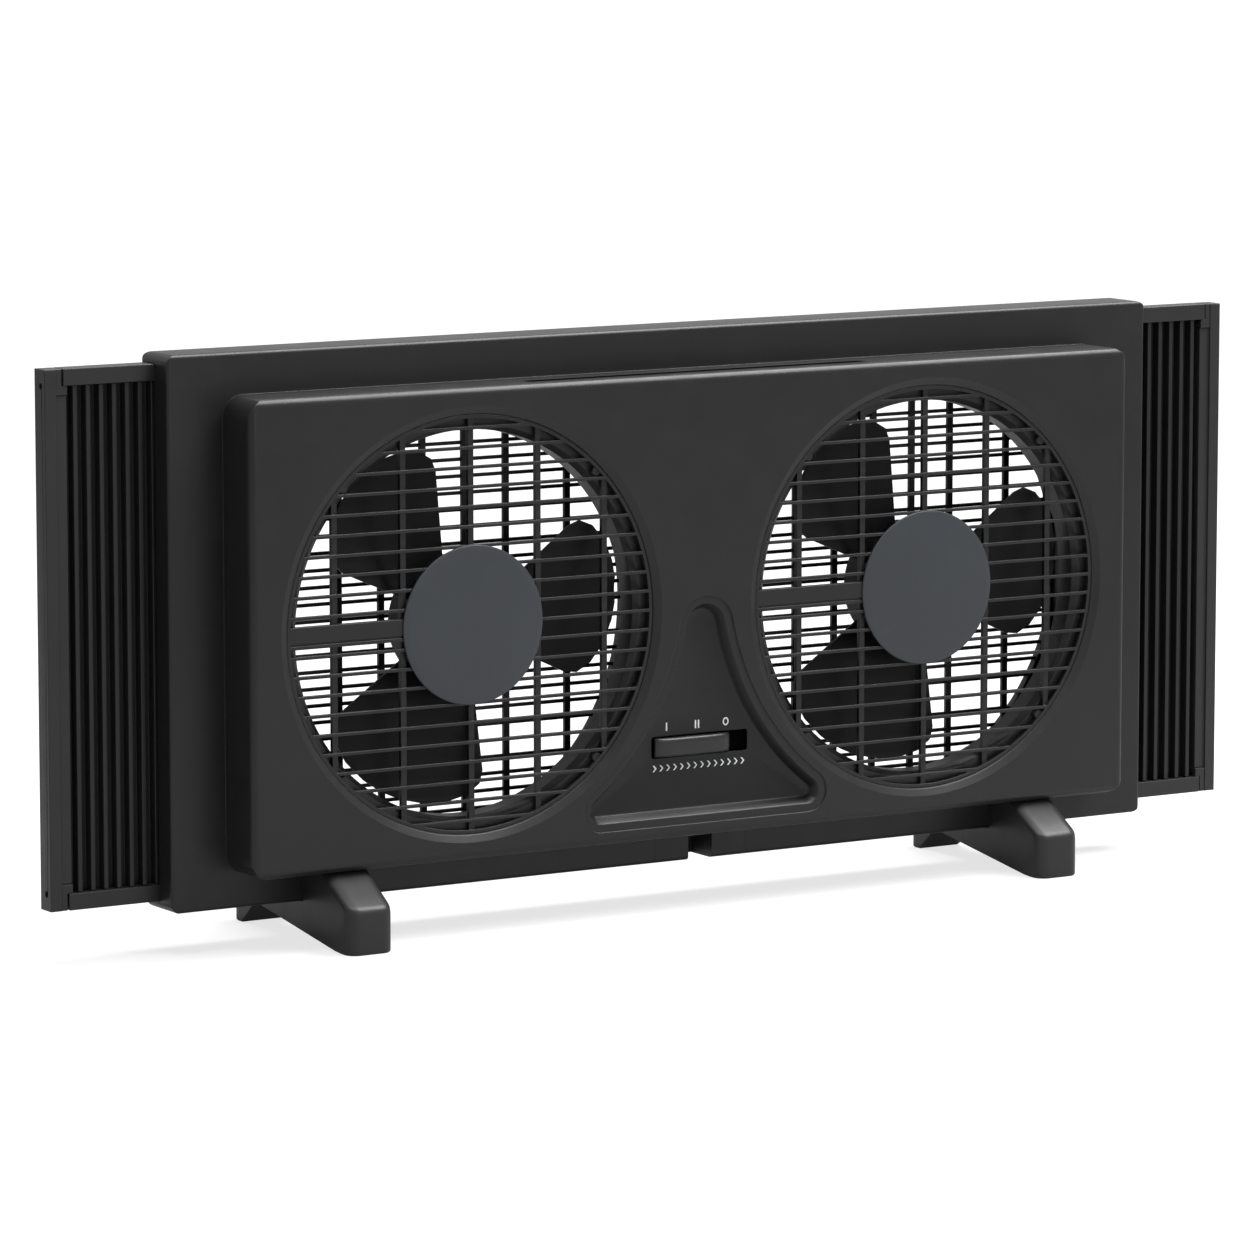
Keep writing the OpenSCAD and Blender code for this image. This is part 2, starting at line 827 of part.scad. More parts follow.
module left_hub_cap() color(cap_grey) hub_cap(-1);
module right_hub_cap() color(cap_grey) hub_cap(1);

// --------------------------------------------------------------- impeller

// Half of the blade's angle at radius r: even, then closing in a rounded tip
function blade_spread(r) = r < blade_round_r ? blade_half
    : blade_half * pow(max(0, 1 - pow((r - blade_round_r) / blade_tip_len, 2.3)), 0.5);

// Radii of the blade's rows, closer together towards the tip
function blade_radius(i) = let (root = cup_r - cup_wall / 2, last = blade_r - 0.15)
    root + (last - root) * sin(90 * pow(i / blade_rows, 0.85));

function blade_point(i, j, face) =
    let (r = blade_radius(i), across = 2 * j / blade_columns - 1, a = across * blade_spread(r))
    [
        r * cos(a),
        blade_mid + (blade_depth - blade_t) / 2 * (-a / blade_half + 0.12 * (1 - across * across))
            + face * blade_t / 2,
        r * sin(a)
    ];

module blade() {
    w = blade_columns + 1;
    size = w * (blade_rows + 1);
    grid = [for (face = [-1, 1], i = [0:blade_rows], j = [0:blade_columns]) blade_point(i, j, face)];
    front = [for (i = [0:blade_rows - 1], j = [0:blade_columns - 1]) let (a = i * w + j)
        each [[a, a + 1, a + w], [a + 1, a + w + 1, a + w]]];
    back = [for (f = front) [f[2] + size, f[1] + size, f[0] + size]];
    low = [for (i = [0:blade_rows - 1]) let (a = i * w) each
        [[a, a + w, a + size], [a + w, a + w + size, a + size]]];
    high = [for (i = [0:blade_rows - 1]) let (a = i * w + blade_columns) each
        [[a, a + size, a + w], [a + w, a + size, a + w + size]]];
    root = [for (a = [0:blade_columns - 1]) each
        [[a, a + size, a + 1], [a + 1, a + size, a + 1 + size]]];
    tip = [for (j = [0:blade_columns - 1]) let (a = blade_rows * w + j) each
        [[a, a + 1, a + size], [a + 1, a + 1 + size, a + size]]];
    polyhedron(points = grid, faces = concat(front, back, low, high, root, tip));
}

module impeller(s)
    at_fan(s) {
        taper_front = cup_end_front - cup_taper_len;
        difference() {
            union() {
                disc(cup_r, cup_front, taper_front + cut);
                cone(cup_r, cup_r - cup_taper, taper_front + cut - eps, cup_end_front + cup_end_t);
                disc(cup_boss_r, cup_end_front, cup_back);
            }
            disc(cup_inner_r, cup_front - cut, taper_front);
            cone(cup_inner_r, cup_inner_r - cup_taper, taper_front - eps, cup_end_front);
            disc(shaft_r, cup_end_front - cut, cup_back + cut);
        }
        for (k = [0:blade_count - 1])
            rotate([0, -(blade_start + k * 360 / blade_count), 0])
                blade();
    }

module left_impeller() color(black) impeller(-1);
module right_impeller() color(black) impeller(1);

module impeller_clip(s)
    at_fan(s)
        ring(clip_r, shaft_r, cup_back, cup_back + clip_t);

module left_impeller_clip() color(steel) impeller_clip(-1);
module right_impeller_clip() color(steel) impeller_clip(1);

// ------------------------------------------------------------------ motor

module motor_shaft(s)
    at_fan(s)
        disc(shaft_r, shaft_front, shaft_back);

module left_motor_shaft() color(steel) motor_shaft(-1);
module right_motor_shaft() color(steel) motor_shaft(1);

module motor_rotor(s)
    at_fan(s)
        difference() {
            union() {
                disc(rotor_r, stack_front + rotor_inset, stack_back - rotor_inset);
                disc(rotor_hub_r, stack_front, stack_back);
            }
            disc(shaft_r, stack_front - cut, stack_back + cut);
        }

module left_motor_rotor() color(sheet_steel) motor_rotor(-1);
module right_motor_rotor() color(sheet_steel) motor_rotor(1);

// Outline of the laminated sheets: a ring with four poles that end in shoes
module stator_sheet()
    difference() {
        union() {
            difference() {
                circle(r = stator_r);
                circle(r = stator_inner_r);
            }
            for (a = [0:90:270])
                rotate(a) {
                    translate([pole_inner_r, -pole_w / 2])
                        square([stator_inner_r + cut - pole_inner_r, pole_w]);
                    intersection() {
                        circle(r = pole_inner_r + shoe_t);
                        polygon([[0, 0], [stator_r, -coil_out_r * 0.8], [stator_r, coil_out_r * 0.8]]);
                    }
                }
        }
        circle(r = pole_inner_r);
        for (a = motor_screw_angles)
            rotate(a)
                translate([motor_screw_place_r, 0])
                    circle(r = motor_screw_r + fit_gap);
    }

module motor_stator(s)
    at_fan(s)
        along_y(stack_front, stack_back)
            stator_sheet();

module left_motor_stator() color(sheet_steel) motor_stator(-1);
module right_motor_stator() color(sheet_steel) motor_stator(1);

module motor_coils(s)
    at_fan(s)
        for (a = [0:90:270])
            rotate([0, -a, 0])
                difference() {
                    slab(coil_in_r, coil_out_r, stack_front - coil_overhang, stack_back + coil_overhang,
                        -coil_half_w, coil_half_w);
                    slab(coil_in_r - cut, coil_out_r + cut, stack_front - fit_gap, stack_back + fit_gap,
                        -pole_w / 2 - fit_gap, pole_w / 2 + fit_gap);
                }

module left_motor_coils() color(copper) motor_coils(-1);
module right_motor_coils() color(copper) motor_coils(1);

// A bearing bridge: an arm, a bearing housing and two bosses that reach the stack
module bracket(arm_front, arm_back, boss_front, boss_back, housing_front, housing_back)
    difference() {
        union() {
            rotate([0, -motor_screw_angles[0], 0])
                slab(-motor_screw_place_r - arm_end, motor_screw_place_r + arm_end,
                    arm_front, arm_back, -arm_w / 2, arm_w / 2);
            around(motor_screw_angles, motor_screw_place_r)
                disc(bracket_boss_r, boss_front, boss_back);
            disc(housing_r, housing_front, housing_back);
        }
        around(motor_screw_angles, motor_screw_place_r)
            disc(motor_screw_r + fit_gap, min(arm_front, boss_front) - cut,
                max(arm_back, boss_back) + cut);
        disc(bushing_r, min(arm_front, housing_front) - cut, max(arm_back, housing_back) + cut);
    }

module front_bracket(s)
    at_fan(s)
        bracket(hub_plate_back, hub_plate_back + bracket_t, hub_plate_back + bracket_step,
            stack_front, hub_plate_back + bracket_step, bushing_front + bushing_front_len);

module left_motor_front_bracket() color(steel) front_bracket(-1);
module right_motor_front_bracket() color(steel) front_bracket(1);

module rear_bracket(s)
    at_fan(s)
        bracket(rear_arm_y, rear_arm_back, stack_back, rear_arm_back - bracket_step,
            bushing_rear, rear_arm_back - bracket_step);

module left_motor_rear_bracket() color(steel) rear_bracket(-1);
module right_motor_rear_bracket() color(steel) rear_bracket(1);

module motor_bushings(s)
    at_fan(s) {
        ring(bushing_r, shaft_r + bearing_gap, bushing_front, bushing_front + bushing_front_len);
        ring(bushing_r, shaft_r + bearing_gap, bushing_rear, bushing_rear + bushing_rear_len);
    }

module left_motor_bushings() color(bronze) motor_bushings(-1);
module right_motor_bushings() color(bronze) motor_bushings(1);

module motor_screws(s)
    at_fan(s)
        around(motor_screw_angles, motor_screw_place_r) {
            disc(motor_head_r, grille_front + 0.2, grille_front + 0.2 + motor_head_t);
            disc(motor_screw_r, grille_front + motor_head_t, motor_screw_end);
            along_y(rear_arm_back, rear_arm_back + motor_nut_t)
                circle(r = motor_nut_r, $fn = 6);
        }

module left_motor_screws() color(steel) motor_screws(-1);
module right_motor_screws() color(steel) motor_screws(1);

// ------------------------------------------------------------------ leads

function unit(v) = v / norm(v);
function path_tangent(p, i) = unit(p[min(i + 1, len(p) - 1)] - p[max(i - 1, 0)]);
function square_to(v, t) = unit(v - (v * t) * t);

// A direction carried along the path without twisting
function carried(p, i, v) = i == len(p) ? []
    : let (n = square_to(v, path_tangent(p, i))) concat([n], carried(p, i + 1, n));

// The route with each corner replaced by three points of a bend
function rounded_route(p) = concat([p[0]], [for (i = [1:len(p) - 2])
    let (back = unit(p[i - 1] - p[i]), on = unit(p[i + 1] - p[i])) each [
        p[i] + lead_bend_r * back,
        p[i] + 0.29 * lead_bend_r * (back + on),
        p[i] + lead_bend_r * on
    ]], [p[len(p) - 1]]);

module tube(path, r) {
    normals = carried(path, 0, [0.1, 0.2, 1]);
    n = lead_sides;
    last = len(path) - 1;
    points = [for (i = [0:last]) let (t = path_tangent(path, i), u = normals[i], v = cross(t, u))
        for (k = [0:n - 1]) path[i] + r * (cos(360 * k / n) * u + sin(360 * k / n) * v)];
    sides = [for (i = [0:last - 1], k = [0:n - 1]) let (j = (k + 1) % n) each
        [[i * n + k, (i + 1) * n + k, i * n + j], [i * n + j, (i + 1) * n + k, (i + 1) * n + j]]];
    polyhedron(points = points, faces = concat(sides,
        [[for (k = [0:n - 1]) k]], [[for (k = [n - 1:-1:0]) last * n + k]]));
}

// A point beside the fan's opening, at an angle around the fan's axis
function beside(s, angle, y) =
    [s * fan_x + lead_ring_r * cos(angle), y, fan_z + lead_ring_r * sin(angle)];

left_lead_route = concat(
    [[-fan_x - lead_start, lead_y, fan_z], beside(-1, 180, lead_y), beside(-1, 180, lead_drop_y)],
    [for (a = [202:22:290]) beside(-1, a, lead_drop_y + 2 * lead_r)],
    [
        [-lead_end_x, lead_end_y, slot_z - lead_end_x], [-lead_end_x, lead_end_y, slot_z],
        [-lead_end_x, switch_back + fit_gap, slot_z]
    ]
);
right_lead_route = [
    [fan_x - lead_start, lead_y, fan_z], beside(1, 180, lead_y),
    beside(1, 180, tub_back + 2 * cord_r), beside(1, 200, tub_back + 2 * cord_r),
    [lead_end_x, lead_end_y, slot_z + 2 * lead_end_x], [lead_end_x, lead_end_y, slot_z],
    [lead_end_x, switch_back + fit_gap, slot_z]
];

module left_motor_lead() color(wire_white) tube(rounded_route(left_lead_route), lead_r);
module right_motor_lead() color(wire_white) tube(rounded_route(right_lead_route), lead_r);

// ----------------------------------------------------------------- switch

// The knob seen from above: a bar whose ends fall back in two bevels
module knob_plan() {
    half = knob_w / 2;
    outline = [
        [half - knob_flat, knob_front], [half - knob_bevel, knob_front + knob_bevel_d],
        [half, knob_front + knob_edge_d], [half, knob_plate_front + knob_plate_t]
    ];
    polygon(concat(outline, [for (i = [3:-1:0]) [-outline[i][0], outline[i][1]]]));
}

module switch_knob() color(charcoal)
    translate([knob_x, 0, slot_z]) {
        intersection() {
            along_y(knob_front, knob_plate_front + cut)
                round_rect(knob_w, knob_h, knob_corner_r);
            linear_extrude(knob_h + 2 * cut, center = true)
                knob_plan();
        }
        slab(-knob_plate_w / 2, knob_plate_w / 2, knob_plate_front, knob_plate_front + knob_plate_t,
            -knob_plate_h / 2, knob_plate_h / 2);
        slab(-lever_w / 2, lever_w / 2, knob_plate_front, switch_front + lever_reach,
            -lever_h / 2, lever_h / 2);
    }

module switch_body() color(black)
    translate([0, 0, slot_z])
        difference() {
            union() {
                slab(-switch_w / 2, switch_w / 2, switch_front, switch_back,
                    -switch_h / 2, switch_h / 2);
                slab(-switch_ear_w / 2, switch_ear_w / 2, switch_ear_front, switch_ear_back,
                    -switch_h / 2 - switch_ear, switch_h / 2 + switch_ear);
            }
            slab(knob_x - lever_w / 2 - lever_gap, knob_x + knob_travel + lever_w / 2 + lever_gap,
                switch_front - cut, switch_front + lever_reach + lever_gap,
                -lever_h / 2 - slide_gap, lever_h / 2 + slide_gap);
            for (s = [-1, 1])
                translate([0, 0, s * switch_screw_z])
                    disc(small_screw_r + fit_gap, switch_ear_front - cut, switch_ear_back + cut);
        }

module switch_screws() color(steel)
    switch_screw_places() {
        disc(small_head_r, switch_ear_back, switch_ear_back + small_head_t);
        disc(small_screw_r - fit_gap / 2, tub_back + small_screw_r, switch_ear_back + fit_gap);
    }

// A piece of the box's lower edge with the cord notch in it, held by lips behind the shell
module inlet_plate() color(charcoal) difference() {
    union() {
        intersection() {
            shell_skin();
            inlet_bay(0);
        }
        translate([notch_x, 0, 0])
            both_sides() {
                slab(plate_half - plate_lip, plate_half, box_front + wall - eps, box_front + 2 * wall,
                    box_bottom + wall - eps, pocket_roof);
                slab(plate_half - eps, plate_half + plate_lip, box_front + wall, box_front + 2 * wall,
                    box_bottom + wall, pocket_roof);
            }
    }
    inlet_way();
}

// A cap inside the box that closes the notch off and holds the grommet
module inlet_pocket() color(charcoal) difference() {
    slab(notch_x - pocket_half, notch_x + pocket_half, box_front + wall, box_front + notch_d + wall,
        box_bottom + wall, pocket_roof + wall);
    inlet_way();
    translate([notch_x, grommet_y, 0])
        peg(grommet_hole_r, pocket_roof - cut, pocket_roof + wall + cut);
}

module cord_grommet() color(black)
    translate([notch_x, grommet_y, 0])
        difference() {
            union() {
                peg(grommet_hole_r - fit_gap, pocket_roof - cut, pocket_roof + wall + cut);
                peg(grommet_lip_r, pocket_roof - grommet_lip_t, pocket_roof);
                peg(grommet_lip_r, pocket_roof + wall, pocket_roof + wall + grommet_lip_t);
            }
            peg(cord_r, pocket_roof - grommet_lip_t - cut, pocket_roof + wall + grommet_lip_t + cut);
        }

// -------------------------------------------------------------- expanders
// Each is modelled on the right; the left one is its mirror image.

module ribbed_panel() {
    z0 = rail_bottom + rail_h;
    z1 = rail_top - rail_h;
    slab(ribbed_in_x, ribbed_end_x, ribbed_plate_front, ribbed_plate_front + ribbed_plate_t,
        z0 - tongue, z1 + tongue);
    first = strip_end_x - rib_end_gap;
    count = floor((first - rib_w / 2 - ribbed_in_x) / rib_pitch);
    for (i = [0:count])
        slab(first - i * rib_pitch - rib_w / 2, first - i * rib_pitch + rib_w / 2,
            rib_front, ribbed_plate_front + eps, z0 + fit_gap, z1 - fit_gap);
}

// A slab whose depths d0 and d1 count inwards from the expander's bottom or top edge
module from_edge(top, x0, x1, y0, y1, d0, d1) {
    edge = top == 1 ? rail_top : rail_bottom;
    s = top == 1 ? -1 : 1;
    slab(x0, x1, y0, y1, min(edge + s * d0, edge + s * d1), max(edge + s * d0, edge + s * d1));
}

// Slot for the edge of the ribbed panel's plate
module plate_slot(top, x0, x1, d0, d1)
    from_edge(top, x0, x1, ribbed_plate_front - fit_gap,
        ribbed_plate_front + ribbed_plate_t + fit_gap, d0, d1);

module rail(top)
    difference() {
        from_edge(top, ribbed_in_x, rail_end_x, rail_front, rail_back, 0, rail_h);
        plate_slot(top, ribbed_in_x - cut, rail_end_x + cut, rail_h - tongue - fit_gap, rail_h + cut);
        from_edge(top, rail_end_x - key_socket_len, rail_end_x + cut, rail_front + rail_wall,
            key_back, rail_wall, rail_wall + key_tongue_t);
    }

module end_post() {
    inner = key_h + fit_gap;
    difference() {
        union() {
            slab(strip_x, post_x, rail_front, rail_back, rail_bottom, rail_top);
            slab(strip_end_x, strip_x + cut, strip_front, rail_back, rail_bottom + inner, rail_top - inner);
        }
        plate_slot(0, strip_end_x - cut, ribbed_end_x + fit_gap, inner - cut,
            rail_top - rail_bottom - inner + cut);
        for (z = [rail_bottom + post_hole_inset, rail_top - post_hole_inset])
            translate([strip_x - cut, post_hole_y, z])
                rotate([0, 90, 0])
                    cylinder(h = post_lip_w + 2 * cut, r = post_hole_r);
    }
}

// A corner key: a leg beside the rail's end, a foot beyond the rail and a tongue into it
module corner_key(top)
    difference() {
        union() {
            from_edge(top, strip_x - key_w, strip_x, key_front, rail_back, 0, key_h);
            from_edge(top, strip_end_x, strip_x, key_front, rail_back, rail_h + fit_gap, key_h);
            from_edge(top, rail_end_x - key_tongue_len, strip_x - cut, rail_front + rail_wall + fit_gap,
                key_back - fit_gap, rail_wall + fit_gap, rail_wall + key_tongue_t - fit_gap);
        }
        plate_slot(top, strip_end_x - cut, ribbed_end_x + fit_gap, rail_h - tongue - fit_gap, key_h + cut);
        translate([strip_end_x - cut, post_hole_y, top == 1 ? rail_top - post_hole_inset
            : rail_bottom + post_hole_inset])
            rotate([0, 90, 0])
                cylinder(h = post_strip_w + 2 * cut, r = post_hole_r + 4 * fit_gap);
    }

module corner_keys() {
    corner_key(0);
    corner_key(1);
}

module left_expander_panel() color(dark) on_side(-1) ribbed_panel();
module right_expander_panel() color(dark) ribbed_panel();
module left_expander_top_rail() color(charcoal) on_side(-1) rail(1);
module right_expander_top_rail() color(charcoal) rail(1);
module left_expander_bottom_rail() color(charcoal) on_side(-1) rail(0);
module right_expander_bottom_rail() color(charcoal) rail(0);
module left_end_post() color(charcoal) on_side(-1) end_post();
module right_end_post() color(charcoal) end_post();
module left_corner_keys() color(charcoal) on_side(-1) corner_keys();
module right_corner_keys() color(charcoal) corner_keys();

// ------------------------------------------------------------------- feet

// The foot's front from its toe's edge up the slope: each point is half depth and height
toe_tip = [foot_d / 2, toe_h];
slope_end = [(box_front + foot_d / 2) * foot_slope_share - box_front, foot_top];
slope_way = unit(slope_end - toe_tip);
foot_edge_steps = 6;
foot_top_edge = 0.6;

// A bend of the toe's upper edge, from its upright front at t = 0 to the slope at t = 1
function toe_bend(t) = toe_tip + foot_edge_r * (pow(t, 2) * slope_way - pow(1 - t, 2) * [0, 1]);

// Half depth, height and inset of the outline at each level of a foot
foot_levels = concat(
    [[foot_d / 2, 0, foot_sole_edge], [foot_d / 2, foot_sole_edge, 0]],
    [for (i = [0:foot_edge_steps]) concat(toe_bend(i / foot_edge_steps), 0)],
    [concat(slope_end - foot_top_edge * slope_way / slope_way[1], 0),
        concat(slope_end, foot_top_edge)]
);

// The outline of a foot at one level, a rectangle with rounded corners, turning left
function foot_ring(level) = [for (q = [0:3])
    let (r = toe_corner_r - level[2], x = foot_w / 2 - toe_corner_r, y = level[0] - toe_corner_r)
        each [for (p = arc([[x, y], [-x, y], [-x, -y], [x, -y]][q], r, 90 * q, 90 * q + 90, 9))
            [p[0], p[1], level[1]]]];

// The whole foot as one rounded lump, and the arch under it between its two soles
module foot_lump() {
    rings = [for (level = foot_levels) foot_ring(level)];
    n = len(rings[0]);
    last = len(rings) - 1;
    polyhedron(
        points = [for (ring = rings) each ring],
        faces = concat(
            [[for (j = [0:n - 1]) j]],
            [for (i = [0:last - 1], j = [0:n - 1])
                [(i + 1) * n + j, (i + 1) * n + (j + 1) % n, i * n + (j + 1) % n, i * n + j]],
            [[for (j = [n - 1:-1:0]) last * n + j]]
        )
    );
}

module foot_arch()
    rotate([90, 0, 90])
        linear_extrude(foot_w + 2 * cut, center = true)
            polygon([
                [sole_len - foot_d / 2, 0], [heel_y, foot_rise], [foot_d / 2 - sole_len, 0],
                [foot_d / 2 - sole_len, -cut], [sole_len - foot_d / 2, -cut]
            ]);

module foot()
    difference() {
        translate([foot_x, 0, 0])
            difference() {
                foot_lump();
                foot_arch();
                slab(-foot_w, foot_w, box_front - fit_gap, box_back + fit_gap, box_bottom, foot_top + cut);
            }
        foot_screw_places() {
            peg(foot_screw_r + fit_gap, 0, box_bottom + cut);
            peg(foot_head_r, 0, foot_seat_z);
        }
    }

module left_foot() color(charcoal) on_side(-1) foot();
module right_foot() color(charcoal) foot();

module foot_screws() color(steel)
    foot_screw_places() {
        peg(foot_head_r - 4 * fit_gap, foot_seat_z - foot_head_t, foot_seat_z);
        peg(foot_screw_r - fit_gap, foot_seat_z - fit_gap, box_bottom + foot_screw_len);
    }

front_shell();
left_shroud();
right_shroud();
rear_cover();
rear_cover_screws();
left_front_grille();
right_front_grille();
front_grille_screws();
left_hub_cap();
right_hub_cap();
left_impeller();
right_impeller();
left_impeller_clip();
right_impeller_clip();
left_motor_shaft();
right_motor_shaft();
left_motor_rotor();
right_motor_rotor();
left_motor_stator();
right_motor_stator();
left_motor_coils();
right_motor_coils();
left_motor_front_bracket();
right_motor_front_bracket();
left_motor_rear_bracket();
right_motor_rear_bracket();
left_motor_bushings();
right_motor_bushings();
left_motor_screws();
right_motor_screws();
left_motor_lead();
right_motor_lead();
switch_knob();
switch_body();
switch_screws();
inlet_plate();
inlet_pocket();
cord_grommet();
left_expander_panel();
right_expander_panel();
left_expander_top_rail();
right_expander_top_rail();
left_expander_bottom_rail();
right_expander_bottom_rail();
left_end_post();
right_end_post();
left_corner_keys();
right_corner_keys();
left_foot();
right_foot();
foot_screws();
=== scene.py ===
import math

import bmesh
import bpy
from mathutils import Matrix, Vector


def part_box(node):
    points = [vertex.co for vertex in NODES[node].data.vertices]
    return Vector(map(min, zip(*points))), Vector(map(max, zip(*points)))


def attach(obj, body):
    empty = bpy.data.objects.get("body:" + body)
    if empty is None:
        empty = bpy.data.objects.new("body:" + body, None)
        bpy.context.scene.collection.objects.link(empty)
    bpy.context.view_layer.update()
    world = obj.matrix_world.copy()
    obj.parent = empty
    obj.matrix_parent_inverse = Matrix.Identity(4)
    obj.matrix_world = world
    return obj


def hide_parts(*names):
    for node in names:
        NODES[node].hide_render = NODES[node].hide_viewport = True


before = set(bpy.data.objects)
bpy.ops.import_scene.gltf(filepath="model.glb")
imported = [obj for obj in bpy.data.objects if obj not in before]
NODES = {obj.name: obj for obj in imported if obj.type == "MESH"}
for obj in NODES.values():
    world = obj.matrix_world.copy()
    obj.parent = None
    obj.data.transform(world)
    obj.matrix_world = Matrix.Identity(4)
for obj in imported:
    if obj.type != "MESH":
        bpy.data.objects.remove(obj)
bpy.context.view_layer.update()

MM = 0.001
scene = bpy.context.scene


def mm(*v):
    return Vector(v) * MM


# Depth of the recess's floor in millimetres, as in the solids
RECESS_FLOOR = -37.5


# ---------------------------------------------------------------- camera

LOOK_AT = mm(-33.6, -15, 157.75)
DISTANCE = 3583 * MM
YAW = math.radians(31.63)
PITCH = math.radians(7.87)
FOCAL_PX = 6443
PHOTO_PX = 1254


def make_camera():
    forward = Vector((
        math.sin(YAW) * math.cos(PITCH), math.cos(YAW) * math.cos(PITCH), -math.sin(PITCH)
    ))
    data = bpy.data.cameras.new("camera")
    data.sensor_width = 36
    data.lens = FOCAL_PX / PHOTO_PX * data.sensor_width
    data.clip_start = 0.1
    data.clip_end = 50
    camera = bpy.data.objects.new("camera", data)
    camera.location = LOOK_AT - forward * DISTANCE
    camera.rotation_mode = "QUATERNION"
    camera.rotation_quaternion = forward.to_track_quat("-Z", "Y")
    scene.collection.objects.link(camera)
    scene.camera = camera


# ----------------------------------------------------------- node helpers

class Tree:
    """Adds nodes to a node tree and links them by name."""

    def __init__(self, tree):
        self.nodes = tree.nodes
        self.links = tree.links
        self.nodes.clear()

    def add(self, kind, values=None, **settings):
        node = self.nodes.new(kind)
        for key, value in settings.items():
            setattr(node, key, value)
        for key, value in (values or {}).items():
            if isinstance(value, bpy.types.NodeSocket):
                self.links.new(value, node.inputs[key])
            else:
                node.inputs[key].default_value = value
        return node

    def math(self, operation, a, b=0.0, c=0.0):
        return self.add("ShaderNodeMath", {0: a, 1: b, 2: c}, operation=operation).outputs[0]

    def noise(self, coords, scale, detail=2.0, roughness=0.5):
        node = self.add("ShaderNodeTexNoise", {
            "Vector": coords, "Scale": scale, "Detail": detail, "Roughness": roughness
        })
        return node.outputs["Fac"]

    def ramp(self, factor, low, high, out_low=0.0, out_high=1.0):
        node = self.add("ShaderNodeMapRange", {
            "Value": factor, "From Min": low, "From Max": high,
            "To Min": out_low, "To Max": out_high
        })
        return node.outputs["Result"]

    def mix(self, factor, a, b):
        node = self.add("ShaderNodeMix", {"Factor": factor, 6: a, 7: b}, data_type="RGBA")
        return node.outputs[2]


def linear(hex_colour):
    """Linear colour of an sRGB hex string."""
    out = []
    for i in (0, 2, 4):
        c = int(hex_colour[i:i + 2], 16) / 255
        out.append(c / 12.92 if c <= 0.04045 else ((c + 0.055) / 1.055) ** 2.4)
    return (*out, 1.0)


def scaled(colour, k):
    return (*(min(1.0, c * k) for c in colour[:3]), 1.0)


def new_material(name):
    material = bpy.data.materials.new(name)
    material.use_nodes = True
    return material, Tree(material.node_tree)


# Scales of the noises per metre, from broad mottling to moulded grain
BROAD = 9
PATCH = 60
SPOTS = 220
BLOOM = 300
GRAIN = 1400

# Width of the rounding that the shader gives to edges, in metres, and the cosines of the
# bend at which their lightening, partly wear and partly painted highlight, starts and is full
EDGE_RADIUS = 0.0007
WEAR_AND_HIGHLIGHT_START = 0.995
WEAR_AND_HIGHLIGHT_FULL = 0.86

# The zone where a material paints shade into the recess, in millimetres: half its width, how
# far that edge fades, its back, and the depths at which the painted matt black behind the recess
# starts and is full
SHADE_HALF_W = 112
SHADE_FADE = 4
SHADE_BACK = -30
PAINTED_BLACK_START = RECESS_FLOOR + 0.05
PAINTED_BLACK_FULL = RECESS_FLOOR + 0.3


